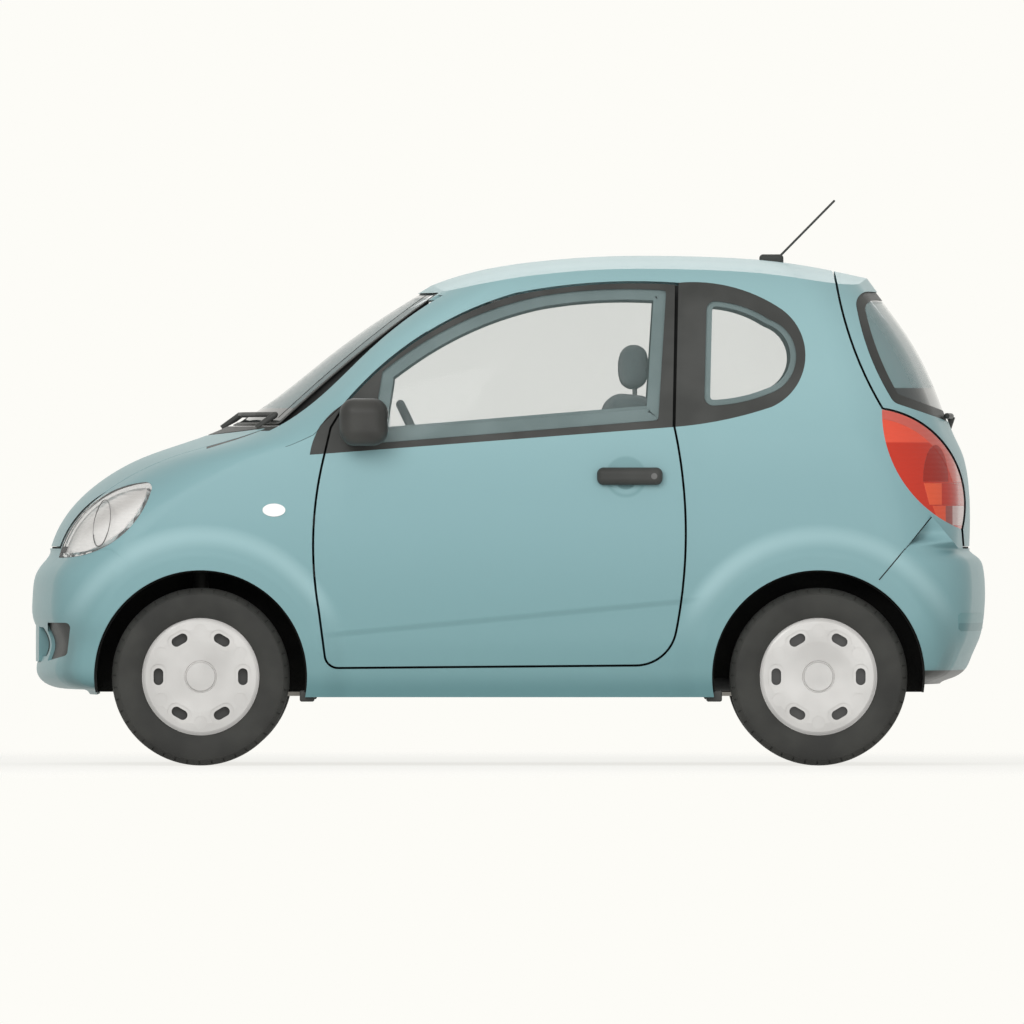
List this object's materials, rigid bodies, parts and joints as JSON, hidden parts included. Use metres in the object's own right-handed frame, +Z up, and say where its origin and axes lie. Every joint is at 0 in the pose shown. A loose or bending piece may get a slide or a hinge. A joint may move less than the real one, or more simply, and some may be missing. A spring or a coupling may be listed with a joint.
{
  "type": "three-door supermini",
  "caption": "Short three-door hatchback car with opening doors, bonnet and tailgate, steered front wheels and a fitted cabin.",
  "frame": {"origin": "on the ground, midway along and across the car", "axes": "+X from nose to tail, +Y to the car's right, +Z up"},
  "size_m": [2.9534, 1.744, 1.7485],
  "materials": {
    "paint": "gloss",
    "black_trim": "satin",
    "glass": "clear",
    "headlamp": "clear",
    "tail_lamp": "gloss",
    "amber": "gloss",
    "tyre": "matte",
    "wheel": "satin silver",
    "chassis": "satin",
    "cast": "rough",
    "steel": "satin",
    "fabric": "woven",
    "dash": "grained"
  },
  "bodies": {
    "body": {"body_side_left": "paint", "wing_left": "paint", "body_side_right": "paint", "wing_right": "paint", "roof_panel": "paint", "front_bumper": "paint", "rear_bumper": "paint", "cowl_panel": "black_trim", "front_grille": "black_trim", "quarter_frames": "black_trim", "sail_trims": "black_trim", "wipers": "black_trim", "antenna": "black_trim", "front_liners": "black_trim", "rear_liners": "black_trim", "windscreen": "glass", "quarter_glass": "glass", "headlamps": "headlamp", "tail_lamps": "tail_lamp", "side_repeaters": "amber", "floor_pan": "chassis", "bulkhead": "chassis", "back_panel": "chassis", "front_subframe": "chassis", "rear_axle": "chassis", "exhaust": "steel", "engine": "cast", "front_seats": "fabric", "rear_seat": "fabric", "dashboard": "dash"},
    "door_left": {"door_panel_left": "paint", "window_frame_left": "black_trim", "door_glass_left": "glass", "mirror_left": "black_trim", "door_handle_left": "black_trim"},
    "door_right": {"door_panel_right": "paint", "window_frame_right": "black_trim", "door_glass_right": "glass", "mirror_right": "black_trim", "door_handle_right": "black_trim"},
    "bonnet": {"bonnet": "paint"},
    "tailgate": {"tailgate": "paint", "rear_glass": "glass", "rear_wiper": "black_trim"},
    "steering_wheel": {"steering_wheel": "dash"},
    "steer_left": {"knuckle_left": "cast"},
    "wheel_front_left": {"tyre_front_left": "tyre", "wheel_front_left": "wheel"},
    "wheel_rear_left": {"tyre_rear_left": "tyre", "wheel_rear_left": "wheel"},
    "steer_right": {"knuckle_right": "cast"},
    "wheel_front_right": {"tyre_front_right": "tyre", "wheel_front_right": "wheel"},
    "wheel_rear_right": {"tyre_rear_right": "tyre", "wheel_rear_right": "wheel"}
  },
  "joints": [
    {"name": "door_left_hinge", "type": "hinge", "parent": "body", "child": "door_left", "pos_m": [-0.601, -0.7555, 0.65], "axis": [0, 0, -1], "range_deg": [0, 65]},
    {"name": "door_right_hinge", "type": "hinge", "parent": "body", "child": "door_right", "pos_m": [-0.601, 0.7555, 0.65], "axis": [0, 0, 1], "range_deg": [0, 65]},
    {"name": "bonnet_hinge", "type": "hinge", "parent": "body", "child": "bonnet", "pos_m": [-0.741, 0, 1.044], "axis": [0, 1, 0], "range_deg": [0, 60]},
    {"name": "tailgate_hinge", "type": "hinge", "parent": "body", "child": "tailgate", "pos_m": [1.005, 0, 1.536], "axis": [0, -1, 0], "range_deg": [0, 80]},
    {"name": "steer_left_kingpin", "type": "hinge", "parent": "body", "child": "steer_left", "pos_m": [-0.95, -0.6, 0.18], "axis": [0, 0.2425, 0.9701], "range_deg": [-34, 34]},
    {"name": "steer_right_kingpin", "type": "hinge", "parent": "body", "child": "steer_right", "pos_m": [-0.95, 0.6, 0.18], "axis": [0, -0.2425, 0.9701], "range_deg": [-34, 34]},
    {"name": "steering_wheel_turn", "type": "hinge", "parent": "body", "child": "steering_wheel", "pos_m": [-0.262, -0.33, 0.958], "axis": [0.9023, 0, 0.4311], "range_deg": [-510, 510]},
    {"name": "wheel_front_left_spin", "type": "hinge", "parent": "steer_left", "child": "wheel_front_left", "pos_m": [-0.95, -0.632, 0.274], "axis": [0, 1, 0], "continuous": true},
    {"name": "wheel_rear_left_spin", "type": "hinge", "parent": "body", "child": "wheel_rear_left", "pos_m": [0.952, -0.632, 0.274], "axis": [0, 1, 0], "continuous": true},
    {"name": "wheel_front_right_spin", "type": "hinge", "parent": "steer_right", "child": "wheel_front_right", "pos_m": [-0.95, 0.632, 0.274], "axis": [0, 1, 0], "continuous": true},
    {"name": "wheel_rear_right_spin", "type": "hinge", "parent": "body", "child": "wheel_rear_right", "pos_m": [0.952, 0.632, 0.274], "axis": [0, 1, 0], "continuous": true}
  ],
  "couplings": [
    {"joint": "steer_right_kingpin", "follows": "steer_left_kingpin", "ratio": 1},
    {"joint": "steering_wheel_turn", "follows": "steer_left_kingpin", "ratio": 15}
  ]
}
